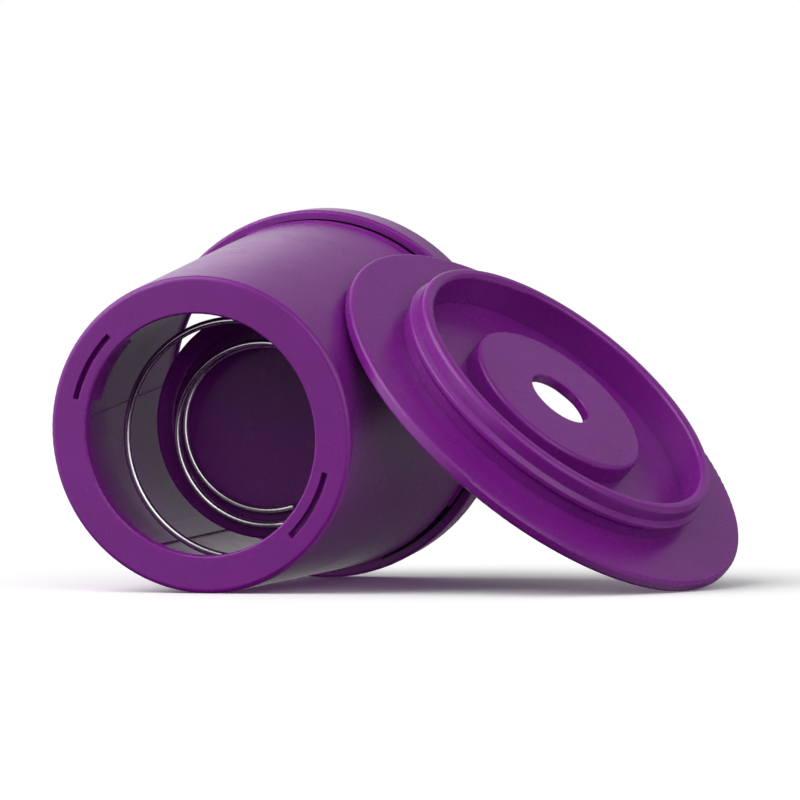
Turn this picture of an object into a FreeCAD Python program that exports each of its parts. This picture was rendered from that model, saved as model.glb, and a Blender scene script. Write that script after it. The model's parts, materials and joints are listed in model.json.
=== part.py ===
"""Spring-lifted pop-up sprinkler head, lying on its side with its snap lid off and leaning on it.

Three groups of pieces each have a local frame whose Z is the group's own axis:
  housing   z = 0 at the narrow front face, z grows towards the wide mouth
  follower  z = 0 at the rim face of the follower plate, z grows towards the mouth
  lid       z = 0 at the flat outer face, z grows towards the underside with its snap ring
Every group is then placed in the row frame: +Z up, floor at z = 0, origin at the centre of the
bounding box's bottom face, housing axis heading along +Y.
"""
import FreeCAD, Part
import math
import os

import Sketcher
from FreeCAD import Placement, Rotation, Vector

doc = FreeCAD.newDocument("PopUpSprinkler")

# Driving dimensions, in millimetres and degrees: (alias, value, what it is).
DIMENSIONS = [
    # tapered housing
    ("front_radius", 25.0, "outer radius at the narrow front face"),
    ("barrel_radius", 30.0, "outer radius at the wide end of the taper"),
    ("barrel_length", 54.8, "front face to the wide end of the taper"),
    ("ring_thickness", 1.9, "thickness of the inward ring at the front"),
    ("opening_radius", 19.1, "radius of the front opening"),
    ("bore_front_radius", 22.0, "tapered bore behind the front ring"),
    ("bore_rear_radius", 27.4, "tapered bore at its wide end"),
    ("bore_overrun", 1.4, "how far the tapered bore runs into the neck"),
    ("front_fillet", 0.8, "rounding of the front outer edge"),
    ("edge_fillet", 0.3, "rounding of small moulded edges"),
    # two arc slots in the front ring, each with a spring tab behind it
    ("slot_inner_radius", 20.85, "inner side of the arc slots"),
    ("slot_outer_radius", 21.85, "outer side of the arc slots"),
    ("slot_angle", 32.0, "arc length of a slot and of its tab"),
    ("slot_depth", 1.5, "depth of a slot into the front ring"),
    ("tab_relief", 0.3, "step between the slot and the tab's outer side"),
    ("tab_depth", 6.2, "front face to the free end of the tabs"),
    ("slot_roll", 32.0, "turn of the slot pair about the housing axis"),
    # shallow guide ribs along the bore
    ("rib_angle", 9.5, "arc width of a guide rib"),
    ("rib_height", 0.3, "rib height above the bore"),
    ("rib_start", 6.5, "front face to the start of the ribs, clear of the spring's closed turn"),
    ("rib_first", -32.0, "first rib, measured from a slot's middle"),
    ("rib_second", -84.0, "second rib, measured from a slot's middle"),
    # threaded neck and collar
    ("neck_radius", 29.6, "neck behind the taper"),
    ("neck_bore_radius", 28.45, "straight bore inside the neck"),
    ("neck_length", 5.7, "wide end of the taper to the neck's end face"),
    ("thread_start", 0.55, "wide end of the taper to the first ridge"),
    ("thread_bevel", 0.12, "bevel on each flank of a ridge"),
    ("thread_height", 0.7, "height of the thread ridges on the neck"),
    ("thread_width", 0.55, "width of a ridge along the axis"),
    ("thread_pitch", 1.15, "distance between the two ridges"),
    ("thread_angle", 150.0, "arc length of a ridge"),
    ("thread_middle", 112.0, "middle of a ridge, measured from a slot's middle"),
    ("collar_radius", 32.0, "outer radius of the collar"),
    ("collar_gap", 3.45, "wide end of the taper to the collar's front face"),
    ("collar_length", 7.1, "length of the collar"),
    ("collar_clearance", 0.15, "thread ridge to collar bore, radially"),
    ("collar_fillet", 0.5, "rounding of the collar's outer edges"),
    ("groove_bevel", 0.4, "slope at the front of the lip"),
    ("gasket_thickness", 0.7, "flat gasket between neck and collar"),
    ("gasket_margin", 0.1, "gap beside the gasket, towards the bore"),
    ("mouth_radius", 29.3, "edge of the mouth"),
    ("mouth_chamfer", 0.8, "depth of the lead-in at the mouth"),
    # lid
    ("brim_radius", 38.2, "outer radius of the lid's brim"),
    ("brim_thickness", 2.1, "thickness of the brim"),
    ("brim_fillet", 0.55, "rounding of the brim's two edges"),
    ("lid_ring_radius", 28.15, "outer radius of the snap ring's wall"),
    ("lid_ring_wall", 2.05, "wall of the snap ring"),
    ("lid_ring_height", 6.0, "snap ring above the brim's underside"),
    ("lid_ring_fillet", 0.75, "rounding of the snap ring's top"),
    ("bead_height", 0.7, "snap bead above the ring's wall"),
    ("bead_place", 2.6, "middle of the bead above the brim's underside"),
    ("bead_half_width", 1.0, "half width of the bead at its foot"),
    ("snap_bite", 0.15, "how far the bead reaches behind the collar's lip"),
    ("snap_clearance", 0.2, "bead to the bottom of the collar's groove"),
    ("boss_radius", 16.0, "radius of the raised boss"),
    ("boss_height", 3.35, "boss above the brim's underside"),
    ("boss_floor", 1.8, "thickness of the boss at the hole"),
    ("boss_fillet", 0.7, "rounding of the boss"),
    ("hole_radius", 5.45, "radius of the hole in the lid"),
    ("lid_lean", 45.35, "angle between the lid's axis and the floor"),
    ("lid_heading", -19.9, "heading of the lid's axis, from +X"),
    ("lid_along", 33.65, "lid centre behind the housing's front face"),
    ("lid_gap", 0.3, "gap left where the lid leans on the housing"),
    # follower plate
    ("plate_radius", 19.25, "outer radius of the follower plate"),
    ("plate_height", 3.6, "rim face to the plate's back face"),
    ("recess_radius", 16.1, "spring seat in the plate's front"),
    ("recess_depth", 0.95, "depth of the spring seat"),
    ("plate_fillet", 0.5, "rounding of the plate's rim"),
    ("plate_place", 31.6, "housing front face to the rim face, spring relaxed"),
    ("plate_lean", -4.9, "sideways lean of the relaxed plate"),
    ("plate_tip", 4.6, "dip of the relaxed plate's axis towards the mouth"),
    ("plate_drop", 1.7, "relaxed plate's centre below the housing axis"),
    ("plate_side", 0.18, "relaxed plate's centre beside the housing axis"),
    ("hub_radius", 7.2, "hub on the plate's back"),
    ("hub_height", 4.2, "hub above the plate's back face"),
    ("gusset_thickness", 1.2, "thickness of the gussets round the hub"),
    ("gusset_reach", 16.5, "radius that the gussets reach"),
    ("gusset_edge", 0.4, "height of a gusset at its outer end"),
    ("gusset_step", 0.8, "top of the hub above the gussets"),
    # riser stem and what it carries
    ("stem_radius", 5.25, "outer radius of the riser stem"),
    ("stem_bore", 3.4, "bore of the riser stem"),
    ("spigot_radius", 4.2, "stem spigot pressed into the hub"),
    ("stem_length", 19.0, "stem above the hub"),
    ("stem_floor", 1.6, "closed foot of the stem's bore"),
    ("port_radius", 1.3, "radius of the water ports"),
    ("port_place", 4.4, "port centres above the hub"),
    ("filter_wall", 0.9, "wall of the filter sleeve"),
    ("filter_height", 8.6, "height of the filter sleeve"),
    ("filter_window_width", 0.9, "width of a filter window"),
    ("filter_window_height", 5.6, "height of a filter window"),
    ("filter_windows", 16, "number of filter windows"),
    ("running_clearance", 0.05, "radial clearance of the turning and sliding fits"),
    ("seal_radius", 8.6, "outer radius of the stem seal"),
    ("seal_thickness", 1.8, "thickness of the stem seal"),
    ("seal_fillet", 0.5, "rounding of the stem seal"),
    ("nozzle_height", 3.4, "nozzle head above the stem"),
    ("nozzle_spigot", 5.0, "nozzle spigot inside the stem's bore"),
    ("nozzle_slit", 0.8, "height of the spray slit"),
    ("nozzle_arc", 180.0, "arc that the spray slit covers"),
    ("nozzle_fillet", 0.6, "rounding of the nozzle's top edge"),
    ("slit_place", 0.9, "stem top to the spray slit"),
    ("channel_inner", 1.75, "inner radius of the water channel in the nozzle"),
    ("channel_outer", 2.75, "outer radius of the water channel in the nozzle"),
    ("channel_arc", 140.0, "arc of the water channel"),
    ("screw_radius", 1.1, "shank radius of the adjusting screw"),
    ("screw_head_radius", 2.2, "head radius of the adjusting screw"),
    ("screw_head_height", 1.2, "head height of the adjusting screw"),
    ("screw_length", 5.6, "shank length of the adjusting screw"),
    ("screw_slot_width", 0.6, "width of the driver slot"),
    ("screw_slot_depth", 0.65, "depth of the driver slot"),
    ("screw_fillet", 0.25, "rounding of the screw head"),
    ("screw_sink", 0.3, "screw head below the nozzle's top"),
    ("pocket_clearance", 0.25, "gap round the screw head"),
    # return spring
    ("wire_diameter", 1.2, "spring wire"),
    ("spring_front_radius", 21.25, "mean coil radius behind the front ring"),
    ("spring_rear_radius", 14.0, "mean coil radius in the plate's seat"),
    ("spring_rear_turns", 1.05, "closed turns in the plate's seat"),
    ("spring_active_turns", 2.19, "open turns between the two closed ones"),
    ("spring_end_angle", -139.5, "wire end in the plate's seat, from a slot's middle"),
    ("spring_taper", 1.53, "how early the coil widens: 1 is even, more is earlier"),
    ("spring_end_side", -0.14, "closed rear turn beside the plate's centre"),
    ("spring_end_drop", 0.56, "closed rear turn below the plate's centre"),
    ("spring_loose_side", 1.1, "loose turns beside the axis"),
    ("spring_loose_drop", 2.9, "loose turns below the axis, the housing being on its side"),
    ("spring_gap", 0.3, "gap between the spring and what it bears on"),
]

sheet = doc.addObject("Spreadsheet::Sheet", "Dims")
for row, (alias, number, note) in enumerate(DIMENSIONS, start=1):
    sheet.set(f"A{row}", alias)
    sheet.set(f"B{row}", str(number))
    sheet.set(f"C{row}", note)
    sheet.setAlias(f"B{row}", alias)
doc.recompute()


def dim(alias):
    """The expression for a driving dimension."""
    return f"Dims.{alias}"


def number(expression):
    """The value of an expression over the driving dimensions."""
    return float(sheet.evalExpression(str(expression)))


# Expressions that several pieces share.
BARREL_END = dim("barrel_length")
BORE_END = f"({BARREL_END} + {dim('bore_overrun')})"
NECK_END = f"({BARREL_END} + {dim('neck_length')})"
BORE_SLOPE = (
    f"(({dim('bore_rear_radius')} - {dim('bore_front_radius')})"
    f" / ({BORE_END} - {dim('ring_thickness')}))"
)
RIB_FRONT_BORE = (
    f"({dim('bore_front_radius')}"
    f" + ({dim('rib_start')} - {dim('ring_thickness')}) * {BORE_SLOPE})"
)
COLLAR_FRONT = f"({BARREL_END} + {dim('collar_gap')})"
MOUTH = f"({COLLAR_FRONT} + {dim('collar_length')})"
COLLAR_SHOULDER = f"({NECK_END} + {dim('gasket_thickness')})"
COLLAR_BORE = f"({dim('neck_radius')} + {dim('thread_height')} + {dim('collar_clearance')})"
BEAD_RADIUS = f"({dim('lid_ring_radius')} + {dim('bead_height')})"
LIP_RADIUS = f"({BEAD_RADIUS} - {dim('snap_bite')})"
GROOVE_RADIUS = f"({BEAD_RADIUS} + {dim('snap_clearance')})"
GROOVE_END = f"({MOUTH} - {dim('bead_place')} + {dim('bead_half_width')})"
TAB_OUTER = f"({dim('slot_inner_radius')} - {dim('tab_relief')})"
HUB_TOP = f"({dim('plate_height')} + {dim('hub_height')})"
STEM_TOP = f"({HUB_TOP} + {dim('stem_length')})"
FILTER_TOP = f"({HUB_TOP} + {dim('filter_height')})"
STEM_SLIP = f"({dim('stem_radius')} + {dim('running_clearance')})"
LID_TOP = f"({dim('brim_thickness')} + {dim('lid_ring_height')})"
BOSS_TOP = f"({dim('brim_thickness')} + {dim('boss_height')})"
LID_RING_BORE = f"({dim('lid_ring_radius')} - {dim('lid_ring_wall')})"
SCREW_HOLE = f"({dim('screw_radius')} + {dim('running_clearance')})"
HEAD_POCKET = f"({dim('screw_head_radius')} + {dim('pocket_clearance')})"
NOZZLE_TOP = f"({STEM_TOP} + {dim('nozzle_height')})"
HEAD_SEAT = f"({NOZZLE_TOP} - {dim('screw_head_height')} - {dim('screw_sink')})"

BURIED = 0.6         # how far an added feature starts inside its base, so that the two fuse
PAST = 1.0           # how far a cut runs past the face that it opens
BEAD_FLAT = 0.35     # flat share of the snap bead's width
LEAN_RINGS = 8       # circles of the lid's face tested against the housing
LEAN_STEPS = 240     # points on each of those circles
TURN_STEPS = 24      # points on each turn of the spring's centre line
CLOSED_PITCH = 1.12  # pitch of the spring's closed turns, in wire diameters
LOOSE_START = 0.3    # turns from the wire's end to where the coil starts to shift off centre
LOOSE_RUN = 0.8      # turns over which it shifts
SETTLE_RUN = 0.9     # turns over which it comes back on centre at the front
LEAST_CUT = 0.05     # a cut that removes less volume than this has missed


def new_body(label):
    """An empty body for one sub-part."""
    body = doc.addObject("PartDesign::Body", label)
    body.Label = label
    return body


def origin_feature(body, role):
    """One of the body's own origin planes or axes."""
    return next(item for item in body.Origin.OriginFeatures if item.Role == role)


def new_sketch(body, name, plane):
    """A sketch on one of the body's origin planes."""
    sketch = body.newObject("Sketcher::SketchObject", name)
    sketch.AttachmentSupport = [(origin_feature(body, plane), "")]
    sketch.MapMode = "FlatFace"
    return sketch


def outline(sketch, corners):
    """A closed outline through corners, each a pair of expressions that stay bound to the sheet."""
    points = [Vector(number(across), number(up), 0) for across, up in corners]
    count = len(points)
    for index in range(count):
        sketch.addGeometry(Part.LineSegment(points[index], points[(index + 1) % count]), False)
    for index in range(count):
        following = (index + 1) % count
        sketch.addConstraint(Sketcher.Constraint("Coincident", index, 2, following, 1))
    for index, (across, up) in enumerate(corners):
        pin_corner(sketch, index, "DistanceX", across, -2)
        pin_corner(sketch, index, "DistanceY", up, -1)


def pin_corner(sketch, index, kind, expression, axis):
    """Holds one coordinate of a corner: on the axis where it is zero, else by a bound distance."""
    value = number(expression)
    if abs(value) < 1e-9:
        sketch.addConstraint(Sketcher.Constraint("PointOnObject", index, 1, axis))
        return
    place = sketch.addConstraint(Sketcher.Constraint(kind, index, 1, value))
    sketch.setExpression(f"Constraints[{place}]", str(expression))


def turned(body, name, corners, kind="Revolution", angle=None, middle=None):
    """A section turned about the body's Z axis: all round, or an arc centred on an angle."""
    sketch = new_sketch(body, f"{name}_section", "XZ_Plane")
    if middle is not None:
        sketch.AttachmentOffset = Placement(Vector(), Rotation(Vector(0, 1, 0), 1.0))
        sketch.setExpression("AttachmentOffset.Rotation.Angle", str(middle))
    outline(sketch, corners)
    feature = body.newObject(f"PartDesign::{kind}", name)
    feature.Profile = sketch
    feature.ReferenceAxis = (sketch, ["V_Axis"])
    if angle is None:
        feature.Angle = 360.0
    else:
        feature.Midplane = True
        feature.setExpression("Angle", str(angle))
    doc.recompute()
    return feature


def repeated(body, name, originals, occurrences):
    """Copies features evenly about the body's Z axis."""
    pattern = body.newObject("PartDesign::PolarPattern", name)
    pattern.Originals = originals
    pattern.Axis = (origin_feature(body, "Z_Axis"), [""])
    pattern.Angle = 360.0
    pattern.setExpression("Occurrences", str(occurrences))
    body.Tip = pattern
    doc.recompute()
    return pattern


def circle_edges(shape, radius, height):
    """Names of the circular edges about Z with a radius and a height, given as expressions."""
    found = []
    for index, edge in enumerate(shape.Edges, start=1):
        if not isinstance(edge.Curve, Part.Circle):
            continue
        centre = edge.Curve.Center
        same_radius = abs(edge.Curve.Radius - number(radius)) < 1e-4
        on_axis = math.hypot(centre.x, centre.y) < 1e-4
        if same_radius and on_axis and abs(centre.z - number(height)) < 1e-4:
            found.append(f"Edge{index}")
    return found


def rounded(body, name, radius, rings):
    """Rounds the circular edges at each (radius, height) by one fillet radius."""
    base = body.Tip
    edges = [edge for ring in rings for edge in circle_edges(base.Shape, *ring)]
    if not edges:
        raise ValueError(f"{name}: no edge to round")
    fillet = body.newObject("PartDesign::Fillet", name)
    fillet.Base = (base, edges)
    fillet.setExpression("Radius", str(radius))
    body.Tip = fillet
    doc.recompute()
    return fillet


def must_cut(body, before, name):
    """Stops the build if a cut has removed nothing."""
    if body.Shape.Volume > before - LEAST_CUT:
        raise ValueError(f"{name} cut nothing")


def housing_shell():
    """Tapered tube: slotted ring at the narrow end, guide ribs inside, threaded neck behind."""
    body = new_body("housing_shell")
    turned(body, "barrel", [
        (dim("opening_radius"), "0"),
        (dim("front_radius"), "0"),
        (dim("barrel_radius"), BARREL_END),
        (dim("neck_radius"), BARREL_END),
        (dim("neck_radius"), NECK_END),
        (dim("neck_bore_radius"), NECK_END),
        (dim("neck_bore_radius"), BORE_END),
        (dim("bore_rear_radius"), BORE_END),
        (dim("bore_front_radius"), dim("ring_thickness")),
        (dim("opening_radius"), dim("ring_thickness")),
    ])
    rounded(body, "front_edge", dim("front_fillet"), [(dim("front_radius"), "0")])
    rounded(body, "opening_edge", dim("edge_fillet"), [
        (dim("opening_radius"), "0"),
        (dim("opening_radius"), dim("ring_thickness")),
    ])
    before = body.Shape.Volume
    slot = turned(body, "slot", [
        (dim("slot_inner_radius"), f"(-{PAST})"),
        (dim("slot_outer_radius"), f"(-{PAST})"),
        (dim("slot_outer_radius"), dim("slot_depth")),
        (dim("slot_inner_radius"), dim("slot_depth")),
    ], kind="Groove", angle=dim("slot_angle"))
    repeated(body, "slot_pair", [slot], 2)
    must_cut(body, before, "slot")
    tab = turned(body, "tab", [
        (f"({dim('opening_radius')} + {dim('edge_fillet')})", f"({dim('ring_thickness')} - {BURIED})"),
        (TAB_OUTER, f"({dim('ring_thickness')} - {BURIED})"),
        (TAB_OUTER, dim("tab_depth")),
        (f"({dim('opening_radius')} + {dim('edge_fillet')})", dim("tab_depth")),
    ], angle=dim("slot_angle"))
    repeated(body, "tab_pair", [tab], 2)
    for name, middle in (("rib_a", dim("rib_first")), ("rib_b", dim("rib_second"))):
        rib = turned(body, name, [
            (f"({RIB_FRONT_BORE} - {dim('rib_height')})", dim("rib_start")),
            (f"({RIB_FRONT_BORE} + {BURIED})", dim("rib_start")),
            (f"({dim('bore_rear_radius')} + {BURIED})", BORE_END),
            (f"({dim('bore_rear_radius')} - {dim('rib_height')})", BORE_END),
        ], angle=dim("rib_angle"), middle=middle)
        repeated(body, f"{name}_pair", [rib], 2)
    crest = f"({dim('neck_radius')} + {dim('thread_height')})"
    root = f"({dim('neck_radius')} - {BURIED})"
    for turn in range(2):
        low = f"({BARREL_END} + {dim('thread_start')} + {turn} * {dim('thread_pitch')})"
        high = f"({low} + {dim('thread_width')})"
        ridge = turned(body, f"thread_ridge_{turn + 1}", [
            (root, low),
            (crest, f"({low} + {dim('thread_bevel')})"),
            (crest, f"({high} - {dim('thread_bevel')})"),
            (root, high),
        ], angle=dim("thread_angle"), middle=dim("thread_middle"))
        repeated(body, f"thread_pair_{turn + 1}", [ridge], 2)
    return body


def mouth_collar():
    """Ring screwed over the neck, with the lip and groove that the lid's bead snaps into."""
    body = new_body("mouth_collar")
    lip_start = f"({MOUTH} - {dim('mouth_chamfer')})"
    turned(body, "ring", [
        (COLLAR_BORE, COLLAR_FRONT),
        (dim("collar_radius"), COLLAR_FRONT),
        (dim("collar_radius"), MOUTH),
        (dim("mouth_radius"), MOUTH),
        (LIP_RADIUS, lip_start),
        (LIP_RADIUS, GROOVE_END),
        (GROOVE_RADIUS, f"({GROOVE_END} - {dim('groove_bevel')})"),
        (GROOVE_RADIUS, COLLAR_SHOULDER),
        (COLLAR_BORE, COLLAR_SHOULDER),
    ])
    rounded(body, "outer_edges", dim("collar_fillet"), [
        (dim("collar_radius"), COLLAR_FRONT),
        (dim("collar_radius"), MOUTH),
    ])
    return body


def collar_gasket():
    """Flat ring that the collar clamps against the neck's end face."""
    body = new_body("collar_gasket")
    inner = f"({dim('neck_bore_radius')} + {dim('gasket_margin')})"
    outer = f"({COLLAR_BORE} - {dim('running_clearance')})"
    turned(body, "gasket", [
        (inner, NECK_END),
        (outer, NECK_END),
        (outer, COLLAR_SHOULDER),
        (inner, COLLAR_SHOULDER),
    ])
    return body


def follower_plate():
    """Round plate with a spring seat in front and a hub with gussets behind."""
    body = new_body("follower_plate")
    turned(body, "plate", [
        (dim("recess_radius"), "0"),
        (dim("plate_radius"), "0"),
        (dim("plate_radius"), dim("plate_height")),
        (dim("hub_radius"), dim("plate_height")),
        (dim("hub_radius"), HUB_TOP),
        (dim("spigot_radius"), HUB_TOP),
        (dim("spigot_radius"), dim("plate_height")),
        ("0", dim("plate_height")),
        ("0", dim("recess_depth")),
        (dim("recess_radius"), dim("recess_depth")),
    ])
    rounded(body, "rim_edges", dim("plate_fillet"), [
        (dim("plate_radius"), "0"),
        (dim("recess_radius"), "0"),
        (dim("plate_radius"), dim("plate_height")),
    ])
    sketch = new_sketch(body, "gusset_outline", "XZ_Plane")
    outline(sketch, [
        (f"({dim('hub_radius')} - {BURIED})", f"({dim('plate_height')} - {BURIED})"),
        (dim("gusset_reach"), f"({dim('plate_height')} - {BURIED})"),
        (dim("gusset_reach"), f"({dim('plate_height')} + {dim('gusset_edge')})"),
        (f"({dim('hub_radius')} - {BURIED})", f"({HUB_TOP} - {dim('gusset_step')})"),
    ])
    gusset = body.newObject("PartDesign::Pad", "gusset")
    gusset.Profile = sketch
    gusset.Midplane = True
    gusset.setExpression("Length", dim("gusset_thickness"))
    doc.recompute()
    repeated(body, "gussets", [gusset], 6)
    return body


def side_hole(body, name, height, radius, depth):
    """A round hole cut outwards from the body's axis, on one side only."""
    sketch = new_sketch(body, f"{name}_circle", "XZ_Plane")
    middle = Vector(0, number(height), 0)
    sketch.addGeometry(Part.Circle(middle, Vector(0, 0, 1), number(radius)), False)
    sketch.addConstraint(Sketcher.Constraint("PointOnObject", 0, 3, -2))
    bound = [
        (sketch.addConstraint(Sketcher.Constraint("Radius", 0, number(radius))), radius),
        (sketch.addConstraint(Sketcher.Constraint("DistanceY", 0, 3, number(height))), height),
    ]
    for place, expression in bound:
        sketch.setExpression(f"Constraints[{place}]", str(expression))
    hole = body.newObject("PartDesign::Pocket", name)
    hole.Profile = sketch
    hole.setExpression("Length", str(depth))
    doc.recompute()
    return hole


def riser_stem():
    """Tube with a spigot pressed into the hub, a closed foot and four water ports."""
    body = new_body("riser_stem")
    turned(body, "tube", [
        ("0", dim("plate_height")),
        (dim("spigot_radius"), dim("plate_height")),
        (dim("spigot_radius"), HUB_TOP),
        (dim("stem_radius"), HUB_TOP),
        (dim("stem_radius"), STEM_TOP),
        (dim("stem_bore"), STEM_TOP),
        (dim("stem_bore"), f"({HUB_TOP} + {dim('stem_floor')})"),
        ("0", f"({HUB_TOP} + {dim('stem_floor')})"),
    ])
    rounded(body, "top_edge", dim("edge_fillet"), [(dim("stem_radius"), STEM_TOP)])
    before = body.Shape.Volume
    port = side_hole(
        body, "port", f"({HUB_TOP} + {dim('port_place')})",
        dim("port_radius"), f"({dim('stem_radius')} + {PAST})",
    )
    repeated(body, "ports", [port], 4)
    must_cut(body, before, "port")
    return body


def filter_sleeve():
    """Slotted sleeve round the stem's foot that keeps grit out of the ports."""
    body = new_body("filter_sleeve")
    outer = f"({STEM_SLIP} + {dim('filter_wall')})"
    turned(body, "sleeve", [
        (STEM_SLIP, HUB_TOP),
        (outer, HUB_TOP),
        (outer, FILTER_TOP),
        (STEM_SLIP, FILTER_TOP),
    ])
    sketch = new_sketch(body, "window_outline", "YZ_Plane")
    low = f"({HUB_TOP} + ({dim('filter_height')} - {dim('filter_window_height')}) / 2)"
    high = f"({low} + {dim('filter_window_height')})"
    half = f"({dim('filter_window_width')} / 2)"
    outline(sketch, [(f"(-{half})", low), (half, low), (half, high), (f"(-{half})", high)])
    before = body.Shape.Volume
    window = body.newObject("PartDesign::Pocket", "window")
    window.Profile = sketch
    window.Reversed = True
    window.setExpression("Length", f"({outer} + {PAST})")
    doc.recompute()
    repeated(body, "windows", [window], dim("filter_windows"))
    must_cut(body, before, "window")
    return body


def stem_seal():
    """Rubber washer above the filter: it closes the lid's hole from inside when the head is up."""
    body = new_body("stem_seal")
    top = f"({FILTER_TOP} + {dim('seal_thickness')})"
    turned(body, "washer", [
        (STEM_SLIP, FILTER_TOP),
        (dim("seal_radius"), FILTER_TOP),
        (dim("seal_radius"), top),
        (STEM_SLIP, top),
    ])
    rounded(body, "washer_edges", dim("seal_fillet"), [
        (dim("seal_radius"), FILTER_TOP),
        (dim("seal_radius"), top),
    ])
    return body


def nozzle():
    """Spray head that turns on the stem: a water channel up to a side slit, and a screw pocket."""
    body = new_body("nozzle")
    spigot = f"({dim('stem_bore')} - {dim('running_clearance')})"
    spigot_end = f"({STEM_TOP} - {dim('nozzle_spigot')})"
    seat = f"({STEM_TOP} + {dim('running_clearance')})"
    turned(body, "head", [
        (SCREW_HOLE, spigot_end),
        (spigot, spigot_end),
        (spigot, seat),
        (dim("stem_radius"), seat),
        (dim("stem_radius"), NOZZLE_TOP),
        (HEAD_POCKET, NOZZLE_TOP),
        (HEAD_POCKET, HEAD_SEAT),
        (SCREW_HOLE, HEAD_SEAT),
    ])
    rounded(body, "head_edge", dim("nozzle_fillet"), [(dim("stem_radius"), NOZZLE_TOP)])
    slit_low = f"({STEM_TOP} + {dim('slit_place')})"
    slit_high = f"({slit_low} + {dim('nozzle_slit')})"
    for name, inner, outer, low, arc in (
        ("water_channel", dim("channel_inner"), dim("channel_outer"),
         f"({spigot_end} - {PAST})", dim("channel_arc")),
        ("spray_slit", dim("channel_inner"), f"({dim('stem_radius')} + {PAST})",
         slit_low, dim("nozzle_arc")),
    ):
        before = body.Shape.Volume
        turned(body, name, [(inner, low), (outer, low), (outer, slit_high), (inner, slit_high)],
               kind="Groove", angle=arc)
        must_cut(body, before, name)
    return body


def nozzle_screw():
    """Slotted screw in the middle of the nozzle."""
    body = new_body("nozzle_screw")
    head_top = f"({HEAD_SEAT} + {dim('screw_head_height')})"
    shank_end = f"({HEAD_SEAT} - {dim('screw_length')})"
    turned(body, "screw", [
        ("0", shank_end),
        (dim("screw_radius"), shank_end),
        (dim("screw_radius"), HEAD_SEAT),
        (dim("screw_head_radius"), HEAD_SEAT),
        (dim("screw_head_radius"), head_top),
        ("0", head_top),
    ])
    rounded(body, "screw_edge", dim("screw_fillet"), [(dim("screw_head_radius"), head_top)])
    sketch = new_sketch(body, "slot_outline", "XZ_Plane")
    half = f"({dim('screw_slot_width')} / 2)"
    slot_floor = f"({head_top} - {dim('screw_slot_depth')})"
    slot_top = f"({head_top} + {PAST})"
    outline(sketch, [
        (f"(-{half})", slot_floor),
        (half, slot_floor),
        (half, slot_top),
        (f"(-{half})", slot_top),
    ])
    before = body.Shape.Volume
    slot = body.newObject("PartDesign::Pocket", "driver_slot")
    slot.Profile = sketch
    slot.Midplane = True
    slot.setExpression("Length", f"(2 * ({dim('screw_head_radius')} + {PAST}))")
    doc.recompute()
    must_cut(body, before, "driver_slot")
    return body


def lid():
    """Brimmed cap: snap ring with a bead, and a boss with a hole, hollow from outside."""
    body = new_body("lid")
    underside = dim("brim_thickness")
    recess_floor = f"({BOSS_TOP} - {dim('boss_floor')})"
    recess_radius = f"({dim('boss_radius')} - {dim('boss_floor')})"
    bead = f"({underside} + {dim('bead_place')})"
    half = dim("bead_half_width")
    turned(body, "cap", [
        (dim("hole_radius"), recess_floor),
        (recess_radius, recess_floor),
        (recess_radius, "0"),
        (dim("brim_radius"), "0"),
        (dim("brim_radius"), underside),
        (dim("lid_ring_radius"), underside),
        (dim("lid_ring_radius"), f"({bead} - {half})"),
        (BEAD_RADIUS, f"({bead} - {BEAD_FLAT} * {half})"),
        (BEAD_RADIUS, f"({bead} + {BEAD_FLAT} * {half})"),
        (dim("lid_ring_radius"), f"({bead} + {half})"),
        (dim("lid_ring_radius"), LID_TOP),
        (LID_RING_BORE, LID_TOP),
        (LID_RING_BORE, underside),
        (dim("boss_radius"), underside),
        (dim("boss_radius"), BOSS_TOP),
        (dim("hole_radius"), BOSS_TOP),
    ])
    rounded(body, "brim_edges", dim("brim_fillet"), [
        (dim("brim_radius"), "0"),
        (dim("brim_radius"), underside),
    ])
    rounded(body, "ring_top", dim("lid_ring_fillet"), [
        (dim("lid_ring_radius"), LID_TOP),
        (LID_RING_BORE, LID_TOP),
    ])
    rounded(body, "boss_edge", dim("boss_fillet"), [(dim("boss_radius"), BOSS_TOP)])
    rounded(body, "small_edges", dim("edge_fillet"), [
        (BEAD_RADIUS, f"({bead} - {BEAD_FLAT} * {half})"),
        (BEAD_RADIUS, f"({bead} + {BEAD_FLAT} * {half})"),
        (dim("hole_radius"), BOSS_TOP),
        (dim("hole_radius"), recess_floor),
    ])
    return body


def axis_tilt():
    """Upward tilt of the housing axis when the front edge and the collar both touch the floor."""
    front_fillet = number(dim("front_fillet"))
    collar_fillet = number(dim("collar_fillet"))
    along = number(COLLAR_FRONT) + collar_fillet - front_fillet
    rise = (number(dim("collar_radius")) - collar_fillet) - (number(dim("front_radius")) - front_fillet)
    step = collar_fillet - front_fillet
    return math.asin(step / math.hypot(along, rise)) + math.atan2(rise, along)


def slot_turn():
    """Turn about the housing axis from straight across to the middle of a slot."""
    return Rotation(Vector(0, 0, 1), 180.0 + number(dim("slot_roll")))


def housing_placement():
    """Housing on its side: its Z points along +Y and up by the tilt, and it touches the floor."""
    tilt = axis_tilt()
    fillet = number(dim("front_fillet"))
    height = (number(dim("front_radius")) - fillet) * math.cos(tilt) + fillet - fillet * math.sin(tilt)
    lay_down = Rotation(Vector(1, 0, 0), math.degrees(tilt) - 90.0)
    return Placement(Vector(0, 0, height), lay_down.multiply(slot_turn()))


def follower_placement(housing):
    """The relaxed plate: near the housing axis, but sagging and leaning a little."""
    level = Placement(housing.Base, housing.Rotation.multiply(slot_turn().inverted()))
    centre = Vector(number(dim("plate_side")), number(dim("plate_drop")), number(dim("plate_place")))
    sideways = Rotation(Vector(0, 1, 0), number(dim("plate_lean")))
    lengthways = Rotation(Vector(1, 0, 0), -number(dim("plate_tip")))
    lean = sideways.multiply(lengthways).multiply(slot_turn())
    return level.multiply(Placement(centre, lean))


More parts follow.
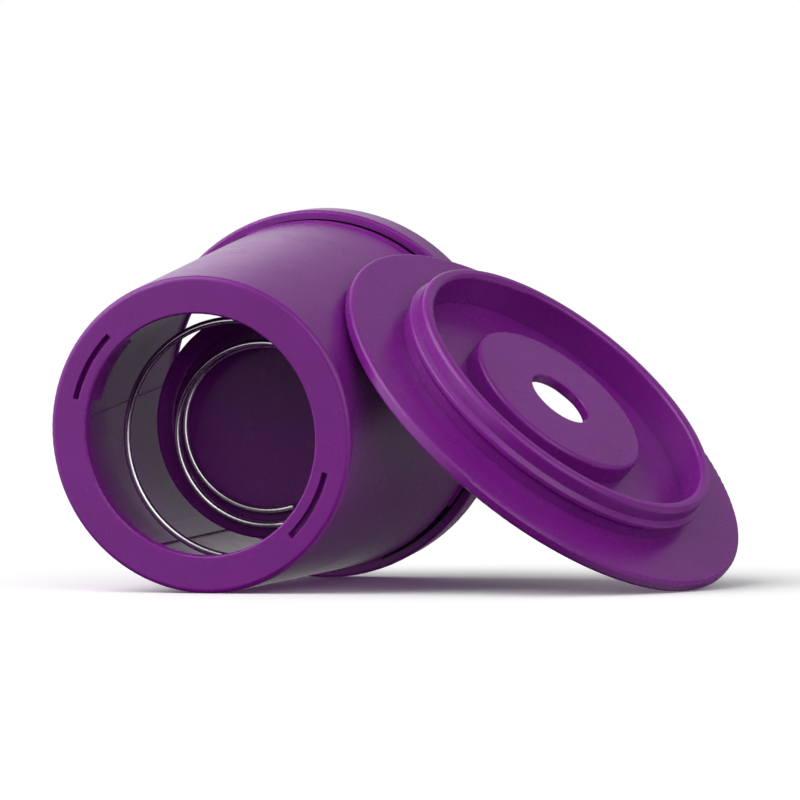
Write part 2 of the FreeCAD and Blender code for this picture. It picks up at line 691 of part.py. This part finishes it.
def outer_radius(along):
    """Outer radius of the housing and its collar at a distance behind the front face."""
    if along > number(BARREL_END):
        return number(dim("collar_radius"))
    share = along / number(BARREL_END)
    front = number(dim("front_radius"))
    return front + share * (number(dim("barrel_radius")) - front)


def lid_clearance(lid_place, housing):
    """Smallest radial gap between the lid's outer face and the housing."""
    to_housing = housing.inverse().multiply(lid_place)
    mouth = number(MOUTH)
    brim = number(dim("brim_radius"))
    smallest = math.inf
    for ring in range(LEAN_RINGS):
        radius = brim * (1.0 - 0.5 * ring / LEAN_RINGS)
        for step in range(LEAN_STEPS):
            turn = 2.0 * math.pi * step / LEAN_STEPS
            rim_point = Vector(radius * math.cos(turn), radius * math.sin(turn), 0)
            local = to_housing.multVec(rim_point)
            if 0.0 <= local.z <= mouth:
                smallest = min(smallest, math.hypot(local.x, local.y) - outer_radius(local.z))
    return smallest


def lid_placement(housing):
    """The lid with its lowest edge on the floor, pushed up against the housing's side."""
    lean = math.radians(number(dim("lid_lean")))
    heading = math.radians(number(dim("lid_heading")))
    axis = Vector(
        math.cos(lean) * math.cos(heading), math.cos(lean) * math.sin(heading), math.sin(lean)
    )
    turn = Rotation(Vector(0, 0, 1), axis)
    fillet = number(dim("brim_fillet"))
    height = (number(dim("brim_radius")) - fillet) * math.cos(lean) + fillet - fillet * math.sin(lean)
    near, far = 0.0, 4.0 * number(dim("front_radius"))
    for _ in range(24):
        across = (near + far) / 2
        place = Placement(Vector(across, number(dim("lid_along")), height), turn)
        if lid_clearance(place, housing) < number(dim("lid_gap")):
            near = across
        else:
            far = across
    return Placement(Vector(far, number(dim("lid_along")), height), turn)


def eased(share):
    """Goes smoothly from 0 to 1 as share does, and stays level outside that."""
    held = min(max(share, 0.0), 1.0)
    return held * held * (3.0 - 2.0 * held)


def spring_path(follower_in_housing):
    """Centre line from the wire end in the plate's seat to the closed turn behind the front ring."""
    wire = number(dim("wire_diameter"))
    gap = number(dim("spring_gap"))
    seat = number(dim("recess_depth")) - wire / 2 - gap
    front = number(dim("ring_thickness")) + wire / 2 + gap
    rear_turns = number(dim("spring_rear_turns"))
    active = number(dim("spring_active_turns"))
    rear_radius = number(dim("spring_rear_radius"))
    front_radius = number(dim("spring_front_radius"))
    start = number(dim("spring_end_angle"))
    taper = number(dim("spring_taper"))
    level = slot_turn().inverted()
    end_shift = level.multVec(Vector(number(dim("spring_end_side")), number(dim("spring_end_drop")), 0))
    loose_shift = level.multVec(
        Vector(number(dim("spring_loose_side")), number(dim("spring_loose_drop")), 0))
    closed_rise = CLOSED_PITCH * wire
    points = []
    for step in range(int(round((rear_turns + active + 1.0) * TURN_STEPS)) + 1):
        turns = step / TURN_STEPS
        share = min(max((turns - rear_turns) / active, 0.0), 1.0)
        angle = math.radians(start + 360.0 * turns)
        radius = front_radius - (front_radius - rear_radius) * (1.0 - share) ** taper
        ring = Vector(radius * math.cos(angle), radius * math.sin(angle), 0)
        rear_lift = closed_rise * min(turns, rear_turns)
        front_lift = closed_rise * min(rear_turns + active + 1.0 - turns, 1.0)
        at_rear = follower_in_housing.multVec(ring + Vector(0, 0, seat - rear_lift))
        at_front = ring + Vector(0, 0, front + front_lift)
        loosened = eased((turns - LOOSE_START) / LOOSE_RUN)
        settled = eased((turns - (rear_turns + active - SETTLE_RUN)) / SETTLE_RUN)
        shift = end_shift * (1.0 - loosened) + loose_shift * (loosened * (1.0 - settled))
        points.append(at_rear + (at_front - at_rear) * share + shift)
    return points


def return_spring(follower_in_housing):
    """Round wire swept along the spring's centre line."""
    curve = Part.BSplineCurve()
    curve.interpolate(spring_path(follower_in_housing))
    path = Part.Wire([curve.toShape()])
    start = curve.value(curve.FirstParameter)
    direction = curve.tangent(curve.FirstParameter)[0]
    section = Part.Wire([Part.makeCircle(number(dim("wire_diameter")) / 2, start, direction)])
    spring = doc.addObject("Part::Feature", "return_spring")
    spring.Label = "return_spring"
    spring.Shape = path.makePipeShell([section], True, True)
    return spring


def check(pieces):
    """Stops the build if an object failed or a sub-part's shape is missing or broken."""
    for item in doc.Objects:
        if "Invalid" in item.State or "Error" in item.State:
            raise ValueError(f"{item.Name} failed: {item.State}")
    for piece in pieces:
        if piece.Shape.isNull() or not piece.Shape.isValid():
            raise ValueError(f"{piece.Label} has no valid shape")
        if len(piece.Shape.Solids) != 1:
            raise ValueError(f"{piece.Label} has {len(piece.Shape.Solids)} solids")


def row_shift(pieces):
    """Moves the bottom centre of the whole object's bounding box to the origin."""
    box = FreeCAD.BoundBox()
    for piece in pieces:
        box.add(piece.Shape.optimalBoundingBox(True, False))
    return Placement(Vector(-box.Center.x, -box.Center.y, -box.ZMin), Rotation())


def main():
    housing = housing_placement()
    follower = follower_placement(housing)
    resting_lid = lid_placement(housing)
    groups = [
        (housing, [housing_shell(), mouth_collar(), collar_gasket(),
                   return_spring(housing.inverse().multiply(follower))]),
        (follower, [follower_plate(), riser_stem(), filter_sleeve(), stem_seal(),
                    nozzle(), nozzle_screw()]),
        (resting_lid, [lid()]),
    ]
    doc.recompute()
    pieces = []
    for place, members in groups:
        for piece in members:
            piece.Placement = place
            pieces.append(piece)
    doc.recompute()
    shift = row_shift(pieces)
    for place, members in groups:
        for piece in members:
            piece.Placement = shift.multiply(place)
    doc.recompute()
    check(pieces)
    os.makedirs("parts", exist_ok=True)
    for piece in pieces:
        piece.Shape.exportStep(f"parts/{piece.Label}.step")
        print(f"{piece.Label:16s} volume {piece.Shape.Volume:10.2f} mm3")
    for name, place in (("housing", housing), ("follower", follower), ("lid", resting_lid)):
        moved = shift.multiply(place)
        axis = moved.Rotation.multVec(Vector(0, 0, 1))
        print(name, "origin", [round(value, 4) for value in moved.Base],
              "axis", [round(value, 6) for value in axis])


main()
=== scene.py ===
"""Looks for the spring-lifted sprinkler head: camera, studio, materials and the spring wire."""
import json
import math

import bmesh
import bpy
from mathutils import Matrix, Vector


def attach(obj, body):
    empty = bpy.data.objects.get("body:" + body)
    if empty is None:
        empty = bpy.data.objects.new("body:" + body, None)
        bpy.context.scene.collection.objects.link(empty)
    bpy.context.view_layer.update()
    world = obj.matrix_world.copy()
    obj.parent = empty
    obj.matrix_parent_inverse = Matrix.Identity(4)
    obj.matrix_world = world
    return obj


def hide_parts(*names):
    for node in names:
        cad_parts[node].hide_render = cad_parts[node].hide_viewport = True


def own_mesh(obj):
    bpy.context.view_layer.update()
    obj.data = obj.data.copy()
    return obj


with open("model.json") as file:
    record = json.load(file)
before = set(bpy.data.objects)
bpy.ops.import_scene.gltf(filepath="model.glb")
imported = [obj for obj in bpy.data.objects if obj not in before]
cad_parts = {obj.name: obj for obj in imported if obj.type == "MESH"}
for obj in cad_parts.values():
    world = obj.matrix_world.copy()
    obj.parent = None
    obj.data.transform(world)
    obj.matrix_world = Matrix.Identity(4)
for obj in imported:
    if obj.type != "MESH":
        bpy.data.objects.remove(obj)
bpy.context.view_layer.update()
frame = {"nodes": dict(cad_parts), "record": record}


# ---------------------------------------------------------------- node helpers

class Nodes:
    """A material's node tree, with short ways to add and join nodes."""

    def __init__(self, name):
        self.material = bpy.data.materials.new(name)
        self.material.use_nodes = True
        self.tree = self.material.node_tree
        self.shader = self.tree.nodes["Principled BSDF"]

    def add(self, kind, **values):
        node = self.tree.nodes.new(kind)
        for key, value in values.items():
            setattr(node, key, value)
        return node

    def join(self, source, target):
        self.tree.links.new(source, target)

    def place(self, scale=(1.0, 1.0, 1.0), turn=(0.0, 0.0, 0.0)):
        """Object coordinates, in metres, turned and stretched."""
        coordinates = self.add("ShaderNodeTexCoord")
        mapping = self.add("ShaderNodeMapping")
        mapping.inputs["Scale"].default_value = scale
        mapping.inputs["Rotation"].default_value = turn
        self.join(coordinates.outputs["Object"], mapping.inputs["Vector"])
        return mapping.outputs["Vector"]

    def noise(self, vector, scale, detail=3.0, roughness=0.5):
        node = self.add("ShaderNodeTexNoise")
        node.inputs["Scale"].default_value = scale
        node.inputs["Detail"].default_value = detail
        node.inputs["Roughness"].default_value = roughness
        self.join(vector, node.inputs["Vector"])
        return node.outputs["Fac"]

    def remap(self, value, low, high, new_low, new_high):
        node = self.add("ShaderNodeMapRange")
        node.inputs["From Min"].default_value = low
        node.inputs["From Max"].default_value = high
        node.inputs["To Min"].default_value = new_low
        node.inputs["To Max"].default_value = new_high
        self.join(value, node.inputs["Value"])
        return node.outputs["Result"]

    def mix(self, factor, dark, light):
        """A colour between two colours or sockets."""
        node = self.add("ShaderNodeMix", data_type="RGBA")
        self.join(factor, node.inputs["Factor"])
        for socket, colour in ((node.inputs[6], dark), (node.inputs[7], light)):
            if isinstance(colour, tuple):
                socket.default_value = (*colour, 1.0)
            else:
                self.join(colour, socket)
        return node.outputs[2]

    def bump(self, height, strength, distance, base=None):
        node = self.add("ShaderNodeBump")
        node.inputs["Strength"].default_value = strength
        node.inputs["Distance"].default_value = distance
        self.join(height, node.inputs["Height"])
        if base is not None:
            self.join(base, node.inputs["Normal"])
        return node.outputs["Normal"]

    def set(self, socket, value):
        if isinstance(value, bpy.types.NodeSocket):
            self.join(value, self.shader.inputs[socket])
        else:
            self.shader.inputs[socket].default_value = value


def shade(colour, factor):
    """A colour made lighter or darker."""
    return tuple(channel * factor for channel in colour)


# ---------------------------------------------------------------- materials

def moulded_plastic(name, colour, roughness, specular=0.5, translucency=0.0, grain=0.4):
    """Moulded plastic: cloudy pigment, faint flow lines, orange peel and a trace of handling."""
    nodes = Nodes(name)
    here = nodes.place()
    flow = nodes.place(scale=(1.0, 0.12, 1.0))
    cloud = nodes.noise(here, 70.0, detail=4.0)
    streak = nodes.noise(flow, 420.0, detail=3.0)
    clouded = nodes.mix(nodes.remap(cloud, 0.3, 0.7, 0.0, 1.0), shade(colour, 0.93), shade(colour, 1.07))
    streaked = nodes.mix(nodes.remap(streak, 0.45, 0.75, 0.0, 0.22), clouded, shade(colour, 1.16))
    nodes.set("Base Color", streaked)
    smear = nodes.noise(here, 160.0, detail=6.0, roughness=0.65)
    nodes.set("Roughness", nodes.remap(smear, 0.3, 0.7, roughness * 0.88, roughness * 1.14))
    peel = nodes.noise(here, 520.0, detail=2.0)
    dust = nodes.noise(here, 5200.0, detail=2.0)
    wavy = nodes.bump(peel, 0.05 * grain, 0.0004)
    nodes.set("Normal", nodes.bump(dust, 0.035 * grain, 0.00012, base=wavy))
    nodes.set("Specular IOR Level", specular)
    nodes.set("Subsurface Weight", translucency)
    nodes.set("Subsurface Radius", (0.0022, 0.0005, 0.0020))
    nodes.set("Subsurface Scale", 1.0)
    return nodes.material


def drawn_wire(name):
    """Bright spring wire with fine die lines."""
    nodes = Nodes(name)
    here = nodes.place()
    cloud = nodes.noise(here, 240.0, detail=4.0)
    nodes.set("Base Color", nodes.mix(
        nodes.remap(cloud, 0.3, 0.7, 0.0, 1.0), (0.60, 0.59, 0.60), (0.76, 0.75, 0.75)))
    nodes.set("Metallic", 1.0)
    lines = nodes.noise(nodes.place(scale=(1.0, 9.0, 1.0)), 900.0, detail=5.0, roughness=0.7)
    nodes.set("Roughness", nodes.remap(lines, 0.3, 0.7, 0.12, 0.24))
    nodes.set("Normal", nodes.bump(lines, 0.06, 0.00006))
    return nodes.material


def machined_steel(name):
    """Turned screw steel with fine tool marks."""
    nodes = Nodes(name)
    here = nodes.place()
    marks = nodes.noise(nodes.place(scale=(1.0, 14.0, 1.0)), 1500.0, detail=4.0)
    nodes.set("Base Color", nodes.mix(marks, (0.48, 0.48, 0.49), (0.62, 0.62, 0.63)))
    nodes.set("Metallic", 1.0)
    nodes.set("Roughness", nodes.remap(nodes.noise(here, 300.0), 0.3, 0.7, 0.24, 0.38))
    nodes.set("Normal", nodes.bump(marks, 0.1, 0.00008))
    return nodes.material


def rubber(name):
    """Matte black rubber with bloom and a fine skin."""
    nodes = Nodes(name)
    here = nodes.place()
    bloom = nodes.noise(here, 110.0, detail=5.0)
    nodes.set("Base Color", nodes.mix(
        nodes.remap(bloom, 0.4, 0.75, 0.0, 1.0), (0.014, 0.014, 0.016), (0.034, 0.034, 0.037)))
    nodes.set("Roughness", nodes.remap(bloom, 0.3, 0.7, 0.62, 0.8))
    nodes.set("Normal", nodes.bump(nodes.noise(here, 3600.0), 0.14, 0.00012))
    return nodes.material


PURPLE = (0.210, 0.012, 0.262)

MATERIALS = {
    "purple_plastic": moulded_plastic("purple_plastic", PURPLE, 0.26, specular=0.4, translucency=0.5),
    "spring_steel": drawn_wire("spring_steel"),
    "black_rubber": rubber("black_rubber"),
    "grey_plastic": moulded_plastic("grey_plastic", (0.30, 0.31, 0.32), 0.42, grain=1.2),
    "black_plastic": moulded_plastic("black_plastic", (0.018, 0.018, 0.02), 0.38, grain=1.2),
    "screw_steel": machined_steel("screw_steel"),
}
SLOTS = {part["node"]: part["material_slot"] for part in frame["record"]["subparts"]}


def dress(thing, slot):
    """Gives an object one material in all its slots."""
    if not thing.data.materials:
        thing.data.materials.append(None)
    for index in range(len(thing.data.materials)):
        thing.data.materials[index] = MATERIALS[slot]


for node_name, node in frame["nodes"].items():
    dress(node, SLOTS[node_name])


# ---------------------------------------------------------------- the spring

WELD = 1e-6


def flexing_spring():
    """The wire as its own smooth-shaded piece, carried with the housing in place of the imported spring.
    """
    source = frame["nodes"]["return_spring"]
    mesh = source.data.copy()
    spring = bpy.data.objects.new("spring_wire", mesh)
    bpy.context.scene.collection.objects.link(spring)
    work = bmesh.new()
    work.from_mesh(mesh)
    bmesh.ops.remove_doubles(work, verts=work.verts, dist=WELD)
    work.to_mesh(mesh)
    work.free()
    for face in mesh.polygons:
        face.use_smooth = True
    dress(spring, "spring_steel")
    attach(spring, "housing")
    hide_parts("return_spring")
    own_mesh(spring)


flexing_spring()


# ---------------------------------------------------------------- studio

BACKDROP = 1.0          # what the camera sees behind the object
PAPER_GAIN = 1.14       # lifts the lit paper to white, so that only shadows show on it
FLOOR_HALF = 40.0

# Elevation of a row of light panels, and the cosine at which a panel's edge has faded out.
MIDDLE, UPPER, LOWER = (8.0, 0.72), (48.0, 0.75), (-45.0, 0.62)
# Azimuth from the front towards +X, row, strength.
SOFTBOXES = [
    (45.0, MIDDLE, 1.65), (90.0, MIDDLE, 0.40), (135.0, MIDDLE, 0.18), (180.0, MIDDLE, 0.16),
    (225.0, MIDDLE, 0.92), (270.0, MIDDLE, 0.50), (315.0, MIDDLE, 1.50),
    (0.0, UPPER, 0.60), (60.0, UPPER, 0.35), (180.0, UPPER, 0.30), (300.0, UPPER, 2.70),
    (110.0, LOWER, 0.50),
]


def studio_floor():
    """A wide pale sheet under the object, which takes its shadow but isn't mirrored in it."""
    mesh = bpy.data.meshes.new("studio_floor")
    corners = [(x * FLOOR_HALF, y * FLOOR_HALF, 0.0) for x, y in ((-1, -1), (1, -1), (1, 1), (-1, 1))]
    mesh.from_pydata(corners, [], [(0, 1, 2, 3)])
    floor = bpy.data.objects.new("studio_floor", mesh)
    bpy.context.scene.collection.objects.link(floor)
    nodes = Nodes("studio_paper")
    fibre = nodes.noise(nodes.place(), 900.0, detail=3.0)
    paper = nodes.add("ShaderNodeBsdfDiffuse")
    nodes.join(nodes.mix(fibre, shade((1.0, 1.0, 1.0), PAPER_GAIN * 0.99),
                         shade((1.0, 1.0, 1.0), PAPER_GAIN)), paper.inputs["Color"])
    nodes.join(paper.outputs["BSDF"], nodes.tree.nodes["Material Output"].inputs["Surface"])
    floor.data.materials.append(nodes.material)
    floor.visible_glossy = False
    floor.visible_diffuse = False


def studio_world():
    """A white backdrop for the camera, and large soft panels of light round the object."""
    world = bpy.data.worlds.new("studio_world")
    world.use_nodes = True
    bpy.context.scene.world = world
    tree = world.node_tree
    background = tree.nodes["Background"]
    coordinates = tree.nodes.new("ShaderNodeTexCoord")
    total = None
    for azimuth, (elevation, edge), strength in SOFTBOXES:
        around, above = math.radians(azimuth), math.radians(elevation)
        facing = tree.nodes.new("ShaderNodeVectorMath")
        facing.operation = "DOT_PRODUCT"
        facing.inputs[1].default_value = (math.sin(around) * math.cos(above),
                                          -math.cos(around) * math.cos(above), math.sin(above))
        tree.links.new(coordinates.outputs["Generated"], facing.inputs[0])
        panel = tree.nodes.new("ShaderNodeMapRange")
        panel.interpolation_type = "SMOOTHSTEP"
        panel.inputs["From Min"].default_value = edge
        panel.inputs["To Max"].default_value = strength
        tree.links.new(facing.outputs["Value"], panel.inputs["Value"])
        if total is None:
            total = panel.outputs["Result"]
        else:
            joined = tree.nodes.new("ShaderNodeMath")
            tree.links.new(total, joined.inputs[0])
            tree.links.new(panel.outputs["Result"], joined.inputs[1])
            total = joined.outputs["Value"]
    rays = tree.nodes.new("ShaderNodeLightPath")
    seen = tree.nodes.new("ShaderNodeMix")
    tree.links.new(rays.outputs["Is Camera Ray"], seen.inputs["Factor"])
    tree.links.new(total, seen.inputs["A"])
    seen.inputs["B"].default_value = BACKDROP
    tree.links.new(seen.outputs["Result"], background.inputs["Strength"])
    background.inputs["Color"].default_value = (1.0, 1.0, 1.0, 1.0)


CAMERA_LENS = 148.5
CAMERA_HEADING, CAMERA_RISE, CAMERA_ROLL = math.radians(17.43), math.radians(0.64), math.radians(-0.29)
CAMERA_REACH = 0.5409
CAMERA_TARGET = Vector((0.0004, 0.0, 0.0305))


def camera():
    """Level with the object, to its front right, with a long lens."""
    data = bpy.data.cameras.new("camera")
    data.sensor_width = 36.0
    data.lens = CAMERA_LENS
    data.clip_start = 0.01
    data.clip_end = 100.0
    lens = bpy.data.objects.new("camera", data)
    bpy.context.scene.collection.objects.link(lens)
    forward = Vector((-math.sin(CAMERA_HEADING) * math.cos(CAMERA_RISE),
                      math.cos(CAMERA_HEADING) * math.cos(CAMERA_RISE), math.sin(CAMERA_RISE)))
    turn = forward.to_track_quat("-Z", "Y").to_matrix().to_4x4() @ Matrix.Rotation(CAMERA_ROLL, 4, "Z")
    lens.matrix_world = Matrix.Translation(CAMERA_TARGET - forward * CAMERA_REACH) @ turn
    bpy.context.scene.camera = lens


studio_floor()
studio_world()
camera()

bpy.context.scene.view_settings.view_transform = "Standard"
bpy.context.scene.view_settings.look = "None"
